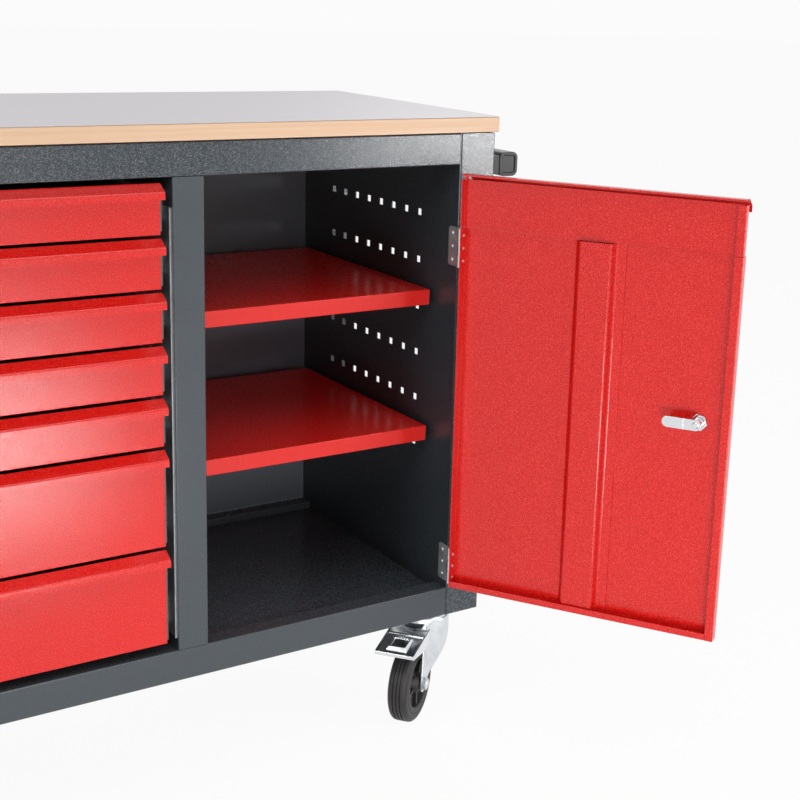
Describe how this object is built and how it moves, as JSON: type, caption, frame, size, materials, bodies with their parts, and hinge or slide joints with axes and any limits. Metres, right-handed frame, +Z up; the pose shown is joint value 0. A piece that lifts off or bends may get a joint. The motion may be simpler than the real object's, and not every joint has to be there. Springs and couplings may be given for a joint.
{
  "type": "mobile workbench with drawers and cabinet",
  "caption": "Mobile workbench on casters: laminate worktop, steel frame, a stack of lipped red drawers, a shelved cabinet with a hinged lockable door, and a push handle at one end.",
  "frame": {"origin": "on the floor, under the middle of the bench's frame", "axes": "+X to the cabinet end (right, seen from the front), +Y to the back, +Z up"},
  "size_m": [1.3481, 0.8546, 0.96],
  "materials": {
    "frame_paint": "fine-textured anthracite powder coat",
    "red_paint": "fine-textured signal red powder coat",
    "zinc": "bright zinc plate",
    "worktop_laminate": "matt light grey laminate",
    "worktop_edge": "pale sealed beech",
    "grip": "satin black",
    "tyre": "dark grey ribbed rubber on a dark plastic rim"
  },
  "bodies": {
    "bench": {"worktop_board": "worktop_edge", "worktop_laminate": "worktop_laminate", "post_front_right": "frame_paint", "post_rear_right": "frame_paint", "post_front_left": "frame_paint", "post_rear_left": "frame_paint", "top_rail_front": "frame_paint", "top_rail_rear": "frame_paint", "bottom_rail_front": "frame_paint", "bottom_rail_rear": "frame_paint", "centre_post": "frame_paint", "floor_panel": "frame_paint", "back_panel": "frame_paint", "side_panel_right": "frame_paint", "side_panel_left": "frame_paint", "partition_cabinet_side": "frame_paint", "partition_drawer_side": "frame_paint", "runner_rack_right": "zinc", "runner_rack_left": "zinc", "hinge_upper_frame_leaf": "zinc", "hinge_lower_frame_leaf": "zinc", "handle_bar": "grip", "handle_bracket_front": "zinc", "handle_bracket_rear": "zinc", "caster_front_right_plate": "zinc", "caster_rear_right_plate": "zinc", "caster_front_left_fork": "zinc", "caster_rear_left_fork": "zinc"},
    "drawer_1": {"drawer_front_1": "red_paint", "drawer_box_1": "frame_paint"},
    "drawer_2": {"drawer_front_2": "red_paint", "drawer_box_2": "frame_paint"},
    "drawer_3": {"drawer_front_3": "red_paint", "drawer_box_3": "frame_paint"},
    "drawer_4": {"drawer_front_4": "red_paint", "drawer_box_4": "frame_paint"},
    "drawer_5": {"drawer_front_5": "red_paint", "drawer_box_5": "frame_paint"},
    "drawer_6": {"drawer_front_6": "red_paint", "drawer_box_6": "frame_paint"},
    "drawer_7": {"drawer_front_7": "red_paint", "drawer_box_7": "frame_paint"},
    "shelf_upper_body": {"shelf_upper": "red_paint"},
    "shelf_lower_body": {"shelf_lower": "red_paint"},
    "door": {"door_panel": "red_paint", "door_head": "red_paint", "door_stiffener": "red_paint", "lock_barrel": "zinc", "lock_nut": "zinc", "hinge_upper_door_leaf": "zinc", "hinge_lower_door_leaf": "zinc"},
    "cam": {"lock_cam": "zinc"},
    "swivel_front_right": {"caster_front_right_fork": "zinc"},
    "swivel_rear_right": {"caster_rear_right_fork": "zinc"},
    "wheel_front_right": {"caster_front_right_wheel": "tyre"},
    "wheel_rear_right": {"caster_rear_right_wheel": "tyre"},
    "wheel_front_left": {"caster_front_left_wheel": "tyre"},
    "wheel_rear_left": {"caster_rear_left_wheel": "tyre"},
    "pedal_front_right": {"caster_front_right_pedal": "zinc"},
    "pedal_rear_right": {"caster_rear_right_pedal": "zinc"}
  },
  "joints": [
    {"name": "drawer_1_slide", "type": "slide", "parent": "bench", "child": "drawer_1", "axis": [0, -1, 0], "range_m": [0, 0.38]},
    {"name": "drawer_2_slide", "type": "slide", "parent": "bench", "child": "drawer_2", "axis": [0, -1, 0], "range_m": [0, 0.38]},
    {"name": "drawer_3_slide", "type": "slide", "parent": "bench", "child": "drawer_3", "axis": [0, -1, 0], "range_m": [0, 0.38]},
    {"name": "drawer_4_slide", "type": "slide", "parent": "bench", "child": "drawer_4", "axis": [0, -1, 0], "range_m": [0, 0.38]},
    {"name": "drawer_5_slide", "type": "slide", "parent": "bench", "child": "drawer_5", "axis": [0, -1, 0], "range_m": [0, 0.38]},
    {"name": "drawer_6_slide", "type": "slide", "parent": "bench", "child": "drawer_6", "axis": [0, -1, 0], "range_m": [0, 0.38]},
    {"name": "drawer_7_slide", "type": "slide", "parent": "bench", "child": "drawer_7", "axis": [0, -1, 0], "range_m": [0, 0.38]},
    {"name": "shelf_upper_lift_out", "type": "slide", "parent": "bench", "child": "shelf_upper_body", "axis": [0, -0.9988, 0.0486], "range_m": [0, 0.5757]},
    {"name": "shelf_lower_lift_out", "type": "slide", "parent": "bench", "child": "shelf_lower_body", "axis": [0, -0.9967, 0.0815], "range_m": [0, 0.5769]},
    {"name": "door_swing", "type": "hinge", "parent": "bench", "child": "door", "pos_m": [0.5195, -0.249, 0.56], "axis": [0, 0, 1], "range_deg": [-122, 5]},
    {"name": "lock_turn", "type": "hinge", "parent": "door", "child": "cam", "pos_m": [0.70762, -0.57364, 0.56], "axis": [0.848, 0.5299, 0], "range_deg": [0, 180]},
    {"name": "caster_front_right_swivel", "type": "hinge", "parent": "bench", "child": "swivel_front_right", "pos_m": [0.522, -0.17, 0.17], "axis": [0, 0, 1], "continuous": true},
    {"name": "caster_rear_right_swivel", "type": "hinge", "parent": "bench", "child": "swivel_rear_right", "pos_m": [0.522, 0.17, 0.17], "axis": [0, 0, 1], "continuous": true},
    {"name": "wheel_front_right_spin", "type": "hinge", "parent": "swivel_front_right", "child": "wheel_front_right", "pos_m": [0.48575, -0.19832, 0.063], "axis": [0.6157, -0.788, 0], "continuous": true},
    {"name": "wheel_rear_right_spin", "type": "hinge", "parent": "swivel_rear_right", "child": "wheel_rear_right", "pos_m": [0.48575, 0.14168, 0.063], "axis": [0.6157, -0.788, 0], "continuous": true},
    {"name": "wheel_front_left_spin", "type": "hinge", "parent": "bench", "child": "wheel_front_left", "pos_m": [-0.522, -0.17, 0.063], "axis": [0, 1, 0], "continuous": true},
    {"name": "wheel_rear_left_spin", "type": "hinge", "parent": "bench", "child": "wheel_rear_left", "pos_m": [-0.522, 0.17, 0.063], "axis": [0, 1, 0], "continuous": true},
    {"name": "pedal_front_right_press", "type": "hinge", "parent": "swivel_front_right", "child": "pedal_front_right", "pos_m": [0.5157, -0.17492, 0.16], "axis": [0.6157, -0.788, 0], "range_deg": [0, 12]},
    {"name": "pedal_rear_right_press", "type": "hinge", "parent": "swivel_rear_right", "child": "pedal_rear_right", "pos_m": [0.5157, 0.16507, 0.16], "axis": [0.6157, -0.788, 0], "range_deg": [0, 12]}
  ]
}
